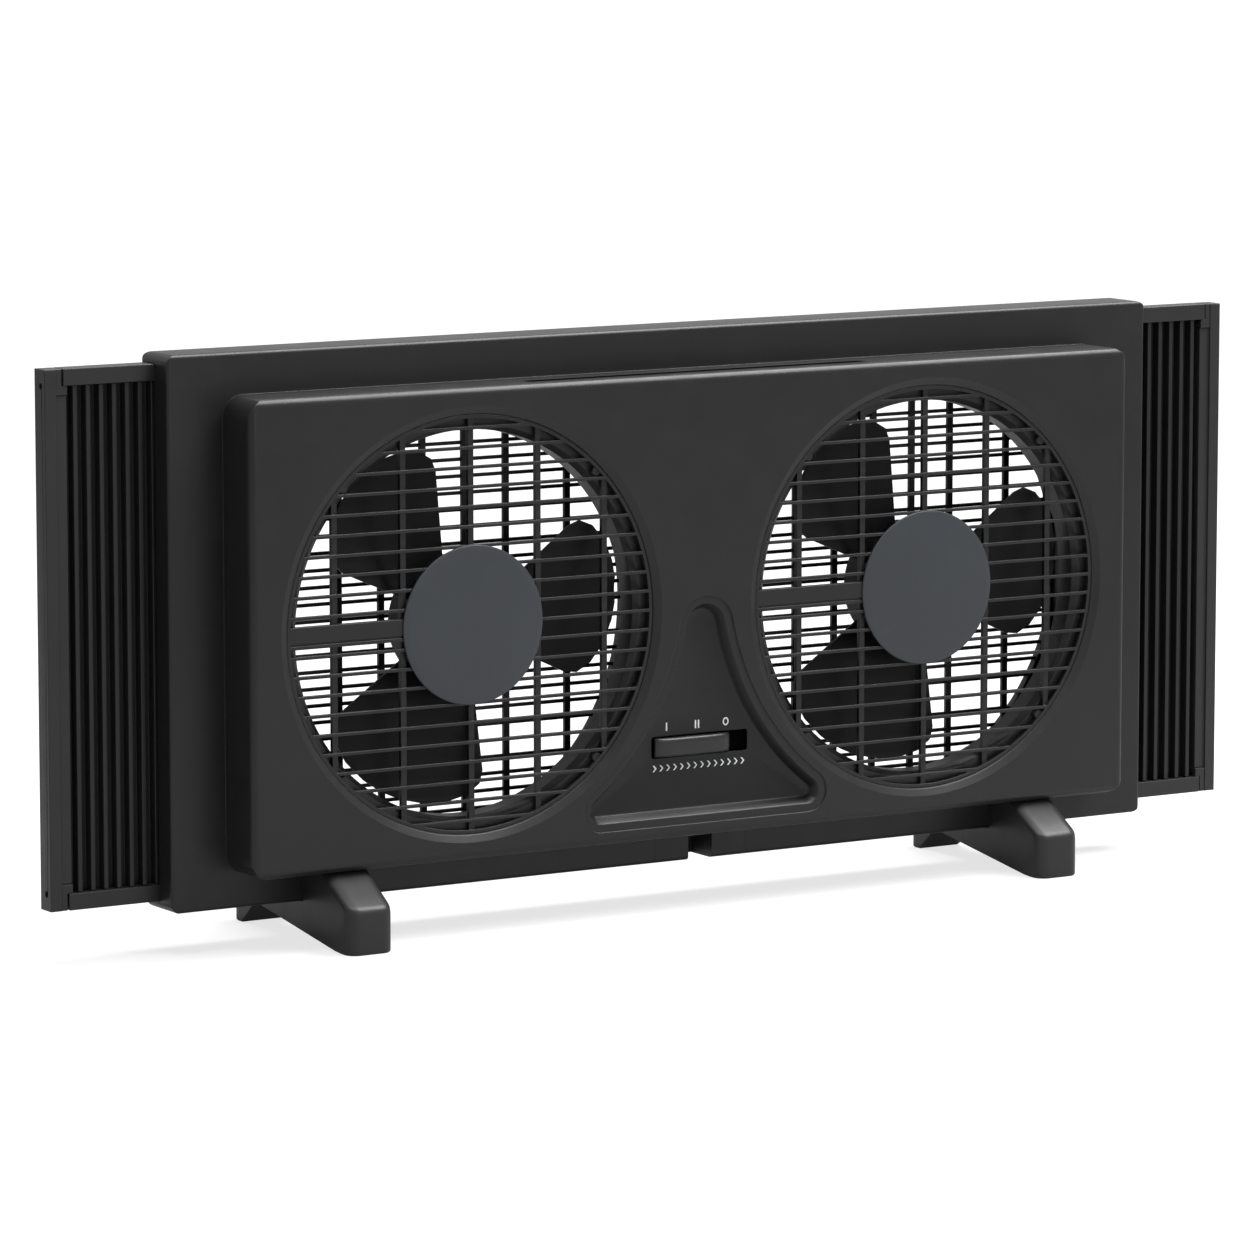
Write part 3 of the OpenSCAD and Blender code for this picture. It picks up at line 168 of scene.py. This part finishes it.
def plastic(name, hex_colour, roughness, grain=0.35, wear_and_highlight=0.35, specular=0.5, painted_recess_shade=None):
    """Moulded plastic: fine grain, faint mottling, and lighter edges, partly wear and partly a
    painted highlight.

    The last argument holds two depths and a share: from the first depth to the second, the colour
    falls to that share of itself, a painted shade in the recess. What lies behind the recess's
    floor, such as the slot, is painted matt and nearly black, as shade. Both hold in the zone of
    the half width and back above at every height, so they also paint a dark bar on the top and
    the bottom of the raised panel.
    """
    material, t = new_material(name)
    base = linear(hex_colour)
    coords = t.add("ShaderNodeTexCoord").outputs["Object"]
    broad = t.noise(coords, BROAD, 3)
    patch = t.noise(coords, PATCH, 4, 0.6)
    fine = t.noise(coords, GRAIN, 2, 0.6)
    round_edge = t.add("ShaderNodeBevel", {"Radius": EDGE_RADIUS}, samples=6).outputs[0]
    true_normal = t.add("ShaderNodeNewGeometry").outputs["Normal"]
    dot = t.add("ShaderNodeVectorMath", {0: round_edge, 1: true_normal},
                operation="DOT_PRODUCT").outputs["Value"]
    edge = t.ramp(dot, WEAR_AND_HIGHLIGHT_START, WEAR_AND_HIGHLIGHT_FULL)
    # Lighter edges in patches along the bevel: partly wear, partly a painted highlight
    worn_and_highlit_edge = t.math("MULTIPLY", edge, t.ramp(patch, 0.35, 0.7, 0.15, 1.0))
    colour = t.mix(t.ramp(broad, 0.3, 0.7), scaled(base, 0.9), scaled(base, 1.1))
    colour = t.mix(t.ramp(patch, 0.55, 0.8, 0.0, 0.35), colour, scaled(base, 1.3))
    colour = t.mix(t.math("MULTIPLY", worn_and_highlit_edge, wear_and_highlight), colour, scaled(base, 3.2))
    # Painted shade: inside the recess the colour darkens by place, and behind its floor it turns
    # black
    if painted_recess_shade:
        start, end, share = painted_recess_shade
        x, y = t.add("ShaderNodeSeparateXYZ", {"Vector": coords}).outputs[:2]
        inward = t.ramp(y, start * MM, end * MM)
        near = t.math("LESS_THAN", y, SHADE_BACK * MM)
        middle = t.ramp(t.math("ABSOLUTE", x), SHADE_HALF_W * MM, (SHADE_HALF_W - SHADE_FADE) * MM)
        painted_shade_mask = t.math("MULTIPLY", t.math("MULTIPLY", inward, near), middle)
        colour = t.mix(painted_shade_mask, colour, scaled(base, share))
    rough = t.math("ADD", t.ramp(patch, 0.3, 0.7, roughness - 0.05, roughness + 0.05),
                   t.math("MULTIPLY", worn_and_highlit_edge, -0.08))
    bump = t.add("ShaderNodeBump", {
        "Strength": grain, "Distance": 0.00012, "Height": fine, "Normal": round_edge
    })
    ripple = t.add("ShaderNodeBump", {
        "Strength": 0.08, "Distance": 0.0006, "Height": patch, "Normal": bump.outputs[0]
    })
    shader = t.add("ShaderNodeBsdfPrincipled", {
        "Base Color": colour, "Roughness": rough, "Normal": ripple.outputs[0],
        "Specular IOR Level": specular
    })
    surface = shader.outputs[0]
    if painted_recess_shade:
        # Painted shade: behind the recess's floor the surface turns matt and nearly black
        slot = t.math("MULTIPLY", painted_shade_mask, t.ramp(y, PAINTED_BLACK_START * MM, PAINTED_BLACK_FULL * MM))
        painted_black = t.add("ShaderNodeBsdfDiffuse", {"Color": scaled(base, 0.15)}).outputs[0]
        surface = t.add("ShaderNodeMixShader", {0: slot, 1: surface, 2: painted_black}).outputs[0]
    t.add("ShaderNodeOutputMaterial", {"Surface": surface})
    return material


def metal(name, hex_colour, roughness, brush_scale=(40, 40, 900)):
    """Plated or bare metal with a fine brushed grain and dull spots."""
    material, t = new_material(name)
    base = linear(hex_colour)
    coords = t.add("ShaderNodeTexCoord").outputs["Object"]
    stretched = t.add("ShaderNodeMapping", {"Vector": coords, "Scale": brush_scale})
    brushed = t.noise(stretched.outputs[0], 3, 4, 0.6)
    spots = t.noise(coords, SPOTS, 4, 0.6)
    colour = t.mix(t.ramp(spots, 0.35, 0.7), base, scaled(base, 0.7))
    rough = t.ramp(brushed, 0.3, 0.7, roughness - 0.08, roughness + 0.1)
    bump = t.add("ShaderNodeBump", {
        "Strength": 0.25, "Distance": 0.0001, "Height": brushed
    })
    shader = t.add("ShaderNodeBsdfPrincipled", {
        "Base Color": colour, "Roughness": rough, "Metallic": 1.0, "Normal": bump.outputs[0]
    })
    t.add("ShaderNodeOutputMaterial", {"Surface": shader.outputs[0]})
    return material


def soft(name, hex_colour, roughness):
    """Rubber and wire insulation: matt, with a faint bloom."""
    material, t = new_material(name)
    base = linear(hex_colour)
    coords = t.add("ShaderNodeTexCoord").outputs["Object"]
    bloom = t.noise(coords, BLOOM, 3, 0.6)
    colour = t.mix(t.ramp(bloom, 0.4, 0.75), base, scaled(base, 1.25))
    bump = t.add("ShaderNodeBump", {"Strength": 0.2, "Distance": 0.0001, "Height": bloom})
    shader = t.add("ShaderNodeBsdfPrincipled", {
        "Base Color": colour, "Normal": bump.outputs[0],
        "Roughness": t.ramp(bloom, 0.3, 0.7, roughness - 0.06, roughness + 0.06)
    })
    t.add("ShaderNodeOutputMaterial", {"Surface": shader.outputs[0]})
    return material


MATERIALS = {
    # Edges lighten more on the charcoal and most on the housing, partly as wear, partly as
    # painted highlight
    "charcoal_plastic": plastic("charcoal_plastic", "2d2d2e", 0.38, wear_and_highlight=0.55, specular=0.38),
    # The housing also gets painted shade in its recess and a painted black slot
    "housing_plastic": plastic("housing_plastic", "262627", 0.36, wear_and_highlight=0.8, specular=0.35,
                               painted_recess_shade=(-43.5, -38.0, 0.5)),
    # The knob's plate behind the recess's floor is painted nearly black, as shade
    "knob_plastic": plastic("knob_plastic", "262627", 0.32, grain=0.2,
                            painted_recess_shade=(-38.3, -37.7, 0.02)),
    "dark_plastic": plastic("dark_plastic", "212122", 0.4, specular=0.4),
    "blade_plastic": plastic("blade_plastic", "0b0b0c", 0.45, grain=0.2, specular=0.25),
    "black_plastic": plastic("black_plastic", "0f0f10", 0.36, grain=0.2, specular=0.4),
    "cap_plastic": plastic("cap_plastic", "3c4045", 0.42, grain=0.2, specular=0.45),
    "plated_steel": metal("plated_steel", "b4b6ba", 0.35),
    "sheet_steel": metal("sheet_steel", "85888c", 0.45, (30, 900, 30)),
    "copper_wire": metal("copper_wire", "b46a35", 0.35, (30, 30, 900)),
    "bronze": metal("bronze", "a9803f", 0.5),
    "lead_insulation": soft("lead_insulation", "dcdcd6", 0.5),
    "soft_rubber": soft("soft_rubber", "161616", 0.75),
    "mark_print": soft("mark_print", "f0f2f4", 0.6),
}


# Nodes whose material differs from their slot: own blade plastic, or painted recess shade and
# highlight
SPECIAL = {
    "front_shell": "housing_plastic", "inlet_plate": "housing_plastic",
    "left_impeller": "blade_plastic", "right_impeller": "blade_plastic",
}


# ------------------------------------------------------ finish of the CAD

# Distance in millimetres at which vertices are welded, and the bends from which an edge is
# shaded as sharp and is bevelled
WELD = 0.004
SHARP_ANGLE = math.radians(28)
BEVEL_ANGLE = math.radians(32)


def smooth_group():
    """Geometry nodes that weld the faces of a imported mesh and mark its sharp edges."""
    group = bpy.data.node_groups.new("weld_and_smooth", "GeometryNodeTree")
    group.interface.new_socket("Geometry", in_out="INPUT", socket_type="NodeSocketGeometry")
    group.interface.new_socket("Geometry", in_out="OUTPUT", socket_type="NodeSocketGeometry")
    t = Tree(group)
    start = t.add("NodeGroupInput").outputs[0]
    bare = t.add("GeometryNodeRemoveAttribute", {"Geometry": start, "Name": "custom_normal"})
    welded = t.add("GeometryNodeMergeByDistance", {
        "Geometry": bare.outputs[0], "Distance": WELD * MM
    })
    smooth = t.add("GeometryNodeSetShadeSmooth", {
        "Geometry": welded.outputs[0], "Shade Smooth": True
    }, domain="FACE")
    angle = t.add("GeometryNodeInputMeshEdgeAngle").outputs["Unsigned Angle"]
    sharp = t.add("FunctionNodeCompare", {0: angle, 1: SHARP_ANGLE},
                  data_type="FLOAT", operation="GREATER_THAN").outputs[0]
    crisp = t.add("GeometryNodeSetShadeSmooth", {
        "Geometry": smooth.outputs[0], "Selection": sharp, "Shade Smooth": False
    }, domain="EDGE")
    t.add("NodeGroupOutput", {0: crisp.outputs[0]})
    return group


SMOOTH = smooth_group()

# Width in millimetres of the bevel on the sharp edges of a node
BEVELLED = {
    "left_end_post": 0.4, "right_end_post": 0.4,
    "left_corner_keys": 0.3, "right_corner_keys": 0.3,
    "left_expander_panel": 0.35, "right_expander_panel": 0.35,
    "left_expander_top_rail": 0.4, "right_expander_top_rail": 0.4,
    "left_expander_bottom_rail": 0.4, "right_expander_bottom_rail": 0.4,
    "switch_body": 0.3, "left_motor_coils": 1.2, "right_motor_coils": 1.2,
}


def add_bevel(piece, width, segments, clamp):
    """Rounds the sharp edges of a piece, to a width in millimetres."""
    bevel = piece.modifiers.new("edges", "BEVEL")
    bevel.limit_method = "ANGLE"
    bevel.angle_limit = BEVEL_ANGLE
    bevel.width = width * MM
    bevel.segments = segments
    bevel.harden_normals = True
    bevel.use_clamp_overlap = clamp


def finish_node(node, width):
    smoothing = node.modifiers.new("weld_and_smooth", "NODES")
    smoothing.node_group = SMOOTH
    if width:
        add_bevel(node, width, 2, False)


# ------------------------------------------------------------ added pieces

def solid_object(name, bm, material, body="housing"):
    """Turns a bmesh in millimetres into a piece that rides on a body."""
    bmesh.ops.recalc_face_normals(bm, faces=bm.faces)
    bmesh.ops.scale(bm, vec=(MM, MM, MM), verts=bm.verts)
    mesh = bpy.data.meshes.new(name)
    bm.to_mesh(mesh)
    bm.free()
    piece = bpy.data.objects.new(name, mesh)
    scene.collection.objects.link(piece)
    mesh.materials.append(MATERIALS[material])
    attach(piece, body)
    return piece


def plate(bm, outline, y0, y1, holes=()):
    """A closed flat shape in X and Z, from y0 back to y1, with at most one hole."""
    fronts, backs = [], []
    for loop in (outline, *holes):
        fronts.append([bm.verts.new((x, y0, z)) for x, z in loop])
        backs.append([bm.verts.new((x, y1, z)) for x, z in loop])
    for front, back in zip(fronts, backs):
        n = len(front)
        for i in range(n):
            j = (i + 1) % n
            bm.faces.new((front[i], front[j], back[j], back[i]))
    for side in (fronts, backs):
        if holes:
            outer, inner = side
            n = len(outer)
            for i in range(n):
                j = (i + 1) % n
                bm.faces.new((outer[i], outer[j], inner[j], inner[i]))
        else:
            bm.faces.new(side[0])


# Marks printed on the recess's floor, in millimetres
MARK_FRONT = RECESS_FLOOR - 0.06
MARK_BACK = RECESS_FLOOR + 0.05
MARK_Z = 103.6
MARK_H = 4.6
BAR_W = 0.9
BAR_X = (-21.7, -2.7, -0.7)
RING_X = 17.2
RING_HALF_W = 1.9
RING_STROKE = 0.75
RING_STEPS = 40
CHEVRON_COUNT = 14
CHEVRON_PITCH = 4.45
CHEVRON_START = -29.2
CHEVRON_Z = 80.6
CHEVRON_HALF_H = 1.8
CHEVRON_REACH = 1.6
CHEVRON_THICK = 1.0


def bar_mark(bm, x):
    half = BAR_W / 2
    low, high = MARK_Z - MARK_H / 2, MARK_Z + MARK_H / 2
    plate(bm, [(x - half, low), (x + half, low), (x + half, high), (x - half, high)],
          MARK_FRONT, MARK_BACK)


def ring_mark(bm, x):
    def oval(inset):
        half_w, half_h = RING_HALF_W - inset, MARK_H / 2 - inset
        return [(x + half_w * math.cos(a), MARK_Z + half_h * math.sin(a))
                for a in (2 * math.pi * k / RING_STEPS for k in range(RING_STEPS))]
    plate(bm, oval(0), MARK_FRONT, MARK_BACK, [oval(RING_STROKE)])


def chevron(bm, x):
    low, high = CHEVRON_Z - CHEVRON_HALF_H, CHEVRON_Z + CHEVRON_HALF_H
    tail = x - CHEVRON_REACH
    plate(bm, [
        (tail, high), (tail + CHEVRON_THICK, high), (x + CHEVRON_THICK, CHEVRON_Z),
        (tail + CHEVRON_THICK, low), (tail, low), (x, CHEVRON_Z)
    ], MARK_FRONT, MARK_BACK)


def make_marks():
    """I, II and O over the switch, and a row of plain chevrons under it."""
    bm = bmesh.new()
    for x in BAR_X:
        bar_mark(bm, x)
    ring_mark(bm, RING_X)
    solid_object("switch_marks", bm, "mark_print")
    bm = bmesh.new()
    for k in range(CHEVRON_COUNT):
        chevron(bm, CHEVRON_START + CHEVRON_PITCH * k)
    solid_object("air_flow_marks", bm, "mark_print")


def lathe(bm, centre, profile, steps):
    """A turned solid about an axis along Y, from radius and depth pairs that end on the axis."""
    rings = []
    for r, y in profile:
        if r == 0:
            rings.append([bm.verts.new((centre[0], y, centre[2]))])
            continue
        rings.append([
            bm.verts.new((centre[0] + r * math.cos(a), y, centre[2] + r * math.sin(a)))
            for a in (2 * math.pi * k / steps for k in range(steps))
        ])
    for one, two in zip(rings, rings[1:]):
        for i in range(steps):
            j = (i + 1) % steps
            loop = [one[i % len(one)], one[j % len(one)], two[j % len(two)], two[i % len(two)]]
            loop = [v for k, v in enumerate(loop) if v not in loop[:k]]
            bm.faces.new(loop)


def node_box(name):
    """Lowest and highest corners of a node at rest, in millimetres."""
    low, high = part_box(name)
    return [v / MM for v in low], [v / MM for v in high]


def shade_smooth(piece):
    for face in piece.data.polygons:
        face.use_smooth = True


def make_cap(side):
    """A hub cap with a low crown and a rolled rim, in place of the flat one."""
    node = side + "_hub_cap"
    low, high = node_box(node)
    centre = [(a + b) / 2 for a, b in zip(low, high)]
    radius = (high[0] - low[0]) / 2
    front, back = low[1], high[1]
    crown, crown_power, rim, rows, steps = 0.8, 2.4, 0.55, 12, 128
    chamfer, chamfer_d = 0.3, 0.05
    profile = [(0, front)]
    for k in range(1, rows + 1):
        r = (radius - rim) * k / rows
        profile.append((r, front + crown * (r / radius) ** crown_power))
    edge = profile[-1][1]
    for a in (30, 60, 90):
        turn = math.radians(a)
        profile.append((radius - rim + rim * math.sin(turn), edge + rim * (1 - math.cos(turn))))
    profile += [(radius, back - chamfer_d), (radius - chamfer, back), (0, back)]
    bm = bmesh.new()
    lathe(bm, centre, profile, steps)
    piece = solid_object(node + "_crown", bm, "cap_plastic")
    shade_smooth(piece)
    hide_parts(node)


def bridge(bm, outer, inner):
    """Fills the flat ring between two closed loops that turn the same way about one centre."""
    def turns(loop, centre, start):
        return [(math.atan2(v.co.z - centre.z, v.co.x - centre.x) - start) % (2 * math.pi)
                for v in loop]
    centre = sum((v.co for v in inner), Vector()) / len(inner)
    start = math.atan2(outer[0].co.z - centre.z, outer[0].co.x - centre.x)
    out_turns = turns(outer, centre, start) + [2 * math.pi]
    in_turns = turns(inner, centre, start) + [2 * math.pi + 1e-3]
    i = j = 0
    while i < len(outer) or j < len(inner):
        a, b = outer[i % len(outer)], inner[j % len(inner)]
        if j >= len(inner) or i < len(outer) and out_turns[i + 1] <= in_turns[j + 1]:
            bm.faces.new((a, outer[(i + 1) % len(outer)], b))
            i += 1
        else:
            bm.faces.new((a, inner[(j + 1) % len(inner)], b))
            j += 1


# Radius and height of a pan head's rings, and the sizes of its cross, as shares of its own
HEAD_RINGS = ((1, 0), (1, 0.45), (0.93, 0.75), (0.78, 1))
HEAD_STEPS = 24
SHANK_SHARE = 0.45
ARM_THIN = 0.13
ARM_REACH = 0.55
CROSS_TAPER = 0.8
CROSS_DEPTH = 0.7


def cross_head(bm, x, z, radius, base, top, shank):
    """A pan head with a cross recess that faces back, on the plain shank before it."""
    tall = top - base

    def ring(r, y):
        return [bm.verts.new((x + r * math.cos(a), y, z + r * math.sin(a)))
                for a in (2 * math.pi * (k - 1) / HEAD_STEPS for k in range(HEAD_STEPS))]

    rings = [ring(SHANK_SHARE * radius, shank), ring(SHANK_SHARE * radius, base)]
    rings += [ring(share * radius, base + height * tall) for share, height in HEAD_RINGS]
    for one, two in zip(rings, rings[1:]):
        for k in range(HEAD_STEPS):
            m = (k + 1) % HEAD_STEPS
            bm.faces.new((one[k], one[m], two[m], two[k]))
    bm.faces.new(rings[0])
    thin, reach = ARM_THIN * radius, ARM_REACH * radius
    arm = [(reach, -thin), (reach, thin), (thin, thin)]
    cross = [(u * c - v * s, u * s + v * c) for c, s in ((1, 0), (0, 1), (-1, 0), (0, -1))
             for u, v in arm]
    mouth = [bm.verts.new((x + u, top, z + v)) for u, v in cross]
    floor = [bm.verts.new((x + CROSS_TAPER * u, top - CROSS_DEPTH * tall, z + CROSS_TAPER * v))
             for u, v in cross]
    bridge(bm, rings[-1], mouth)
    for k in range(len(cross)):
        m = (k + 1) % len(cross)
        bm.faces.new((mouth[k], mouth[m], floor[m], floor[k]))
    bm.faces.new(floor)


def make_cover_screws():
    """Heads with a cross for the rear cover's screws, each on its shank."""
    low, high = node_box("rear_cover_screws")
    radius, head_t = 3.3, 1.4
    outer_x, inner_x = 205, 60
    bm = bmesh.new()
    for x in (-outer_x, -inner_x, inner_x, outer_x):
        for z in (low[2] + radius, high[2] - radius):
            cross_head(bm, x, z, radius, high[1] - head_t, high[1], low[1])
    piece = solid_object("rear_cover_screw_heads", bm, "plated_steel")
    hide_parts("rear_cover_screws")


# The slide knob in millimetres, and the shares of its half width and half height at which
# its face has points
KNOB_HALF_W = 24.5
KNOB_HALF_H = 5.25
KNOB_CROWN = 1.7
KNOB_ROUND_FROM = 0.5
KNOB_ROUND = 0.96
KNOB_EDGE = 0.35
KNOB_COLUMNS = (-1, -0.985, -0.95, -0.9, -0.82, -0.7, -0.55, -0.44, -0.3, 0)
KNOB_ROWS = (-1, -0.97, -0.9, -0.8, -0.66, -0.5, -0.25, 0)
PLATE_FRONT = -34.6
PLATE_BACK = PLATE_FRONT + 1.5
LEVER_HALF = 2

# From each share of the half width outwards, the knob's face falls back more by this slope
KNOB_BEVELS = ((0.46, 0.075), (0.8, 0.28), (0.96, 0.9))


def mirrored(shares, half):
    """Places from one end to the middle, and on to the other end."""
    places = [half * v for v in shares]
    return places + [-v for v in reversed(places[:-1])]


def knob_fall(x, z):
    """How far the knob's face lies behind its front, at a place from its middle."""
    bevels = sum(max(0, abs(x) - share * KNOB_HALF_W) * slope for share, slope in KNOB_BEVELS)
    edge = max(0, abs(z) / KNOB_HALF_H - KNOB_ROUND_FROM) / (1 - KNOB_ROUND_FROM)
    return bevels + KNOB_CROWN * (1 - math.sqrt(max(0, 1 - KNOB_ROUND * edge ** 2)))


def make_knob():
    """The slide knob: a crowned bar whose ends fall back in bevels, on its plate."""
    low, high = node_box("switch_knob")
    mid_x, mid_z = (low[0] + high[0]) / 2, (low[2] + high[2]) / 2
    xs = mirrored(KNOB_COLUMNS, KNOB_HALF_W)
    zs = mirrored(KNOB_ROWS, KNOB_HALF_H)
    bm = bmesh.new()
    grid = [[bm.verts.new((mid_x + x, low[1] + knob_fall(x, z), mid_z + z)) for z in zs]
            for x in xs]
    for one, two in zip(grid, grid[1:]):
        for i in range(len(zs) - 1):
            bm.faces.new((one[i], one[i + 1], two[i + 1], two[i]))
    border = [row[0] for row in grid] + grid[-1][1:] + [row[-1] for row in grid[-2::-1]]
    border += grid[0][-2:0:-1]
    back = [bm.verts.new((v.co.x, PLATE_FRONT, v.co.z)) for v in border]
    for i in range(len(border)):
        j = (i + 1) % len(border)
        bm.faces.new((border[i], border[j], back[j], back[i]))
    bm.faces.new(back)
    plate(bm, [(low[0], low[2]), (high[0], low[2]), (high[0], high[2]), (low[0], high[2])],
          PLATE_FRONT, PLATE_BACK)
    lever = [(mid_x + u * LEVER_HALF, mid_z + v * LEVER_HALF)
             for u, v in ((-1, -1), (1, -1), (1, 1), (-1, 1))]
    plate(bm, lever, PLATE_BACK, high[1])
    piece = solid_object("switch_knob_crown", bm, "knob_plastic", "switch")
    shade_smooth(piece)
    add_bevel(piece, KNOB_EDGE, 3, True)
    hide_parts("switch_knob")


# --------------------------------------------------------------- lighting

# Name, place in millimetres, width and height in metres, and power of each lamp
LAMPS = (
    ("key", (1100, -300, 2150), (2.3, 1.4), 105),
    ("front", (300, -2600, 1050), (1.0, 0.8), 3),
    ("top", (-200, 120, 2300), (2.0, 0.8), 35),
    ("left", (-1900, -1500, 500), (0.6, 1.2), 0.9),
)
LAMP_TARGET = mm(0, -20, 160)
WHITE = (1, 1, 1, 1)
WORLD_LIGHT = 0.12
WORLD_SHINE = 0.5
FLOOR_SHINE = 0.15
FLOOR_PAPER = (0.42, 0.42, 0.42, 1)
FLOOR_SEEN = (0.3, 0.3, 0.3, 1)

# Half the floor's size in metres, and the distances and strengths of its glow
FLOOR_HALF = 12
GLOW_START, GLOW_END = 0.4, 3.0
GLOW_LOW, GLOW_FULL = 0.75, 1.0


def area_light(name, location, size, power):
    data = bpy.data.lights.new(name, "AREA")
    data.shape = "RECTANGLE"
    data.size, data.size_y = size
    data.energy = power
    light = bpy.data.objects.new(name, data)
    light.location = location
    light.rotation_mode = "QUATERNION"
    light.rotation_quaternion = (LAMP_TARGET - location).to_track_quat("-Z", "Y")
    scene.collection.objects.link(light)


def white_seen(t, shine):
    """1 where a ray sees the background straight or through glass, and shine in reflections."""
    path = t.add("ShaderNodeLightPath")
    direct = t.math("MAXIMUM", path.outputs["Is Camera Ray"], path.outputs["Is Transmission Ray"])
    return t.math("MAXIMUM", direct, t.math("MULTIPLY", path.outputs["Is Glossy Ray"], shine))


def make_world():
    world = bpy.data.worlds.new("studio")
    world.use_nodes = True
    scene.world = world
    t = Tree(world.node_tree)
    dim = t.add("ShaderNodeBackground", {"Color": WHITE, "Strength": WORLD_LIGHT})
    full = t.add("ShaderNodeBackground", {"Color": WHITE, "Strength": 1.0})
    mixed = t.add("ShaderNodeMixShader", {
        0: white_seen(t, WORLD_SHINE), 1: dim.outputs[0], 2: full.outputs[0]
    })
    t.add("ShaderNodeOutputWorld", {"Surface": mixed.outputs[0]})


def make_floor():
    mesh = bpy.data.meshes.new("floor")
    bm = bmesh.new()
    bmesh.ops.create_grid(bm, x_segments=2, y_segments=2, size=FLOOR_HALF)
    bm.to_mesh(mesh)
    bm.free()
    floor = bpy.data.objects.new("floor", mesh)
    scene.collection.objects.link(floor)
    material, t = new_material("pale_floor")
    paper = t.add("ShaderNodeBsdfDiffuse", {"Color": FLOOR_PAPER})
    coords = t.add("ShaderNodeTexCoord").outputs["Object"]
    away = t.add("ShaderNodeVectorMath", {0: coords}, operation="LENGTH").outputs["Value"]
    glow = t.add("ShaderNodeEmission", {
        "Color": WHITE, "Strength": t.ramp(away, GLOW_START, GLOW_END, GLOW_LOW, GLOW_FULL)
    })
    lit = t.add("ShaderNodeBsdfDiffuse", {"Color": FLOOR_SEEN})
    seen = t.add("ShaderNodeAddShader", {0: glow.outputs[0], 1: lit.outputs[0]})
    mixed = t.add("ShaderNodeMixShader", {
        0: white_seen(t, FLOOR_SHINE), 1: paper.outputs[0], 2: seen.outputs[0]
    })
    t.add("ShaderNodeOutputMaterial", {"Surface": mixed.outputs[0]})
    mesh.materials.append(material)


# ---------------------------------------------------------------- assembly

make_camera()
make_world()
make_floor()
for name, place, size, power in LAMPS:
    area_light(name, mm(*place), size, power)

for name, node in NODES.items():
    slot = node.data.materials[0].name.split(".")[0]
    node.material_slots[0].material = MATERIALS[SPECIAL.get(name, slot)]
    finish_node(node, BEVELLED.get(name))

make_marks()
make_knob()
make_cover_screws()
for side in ("left", "right"):
    make_cap(side)

scene.view_settings.view_transform = "Standard"
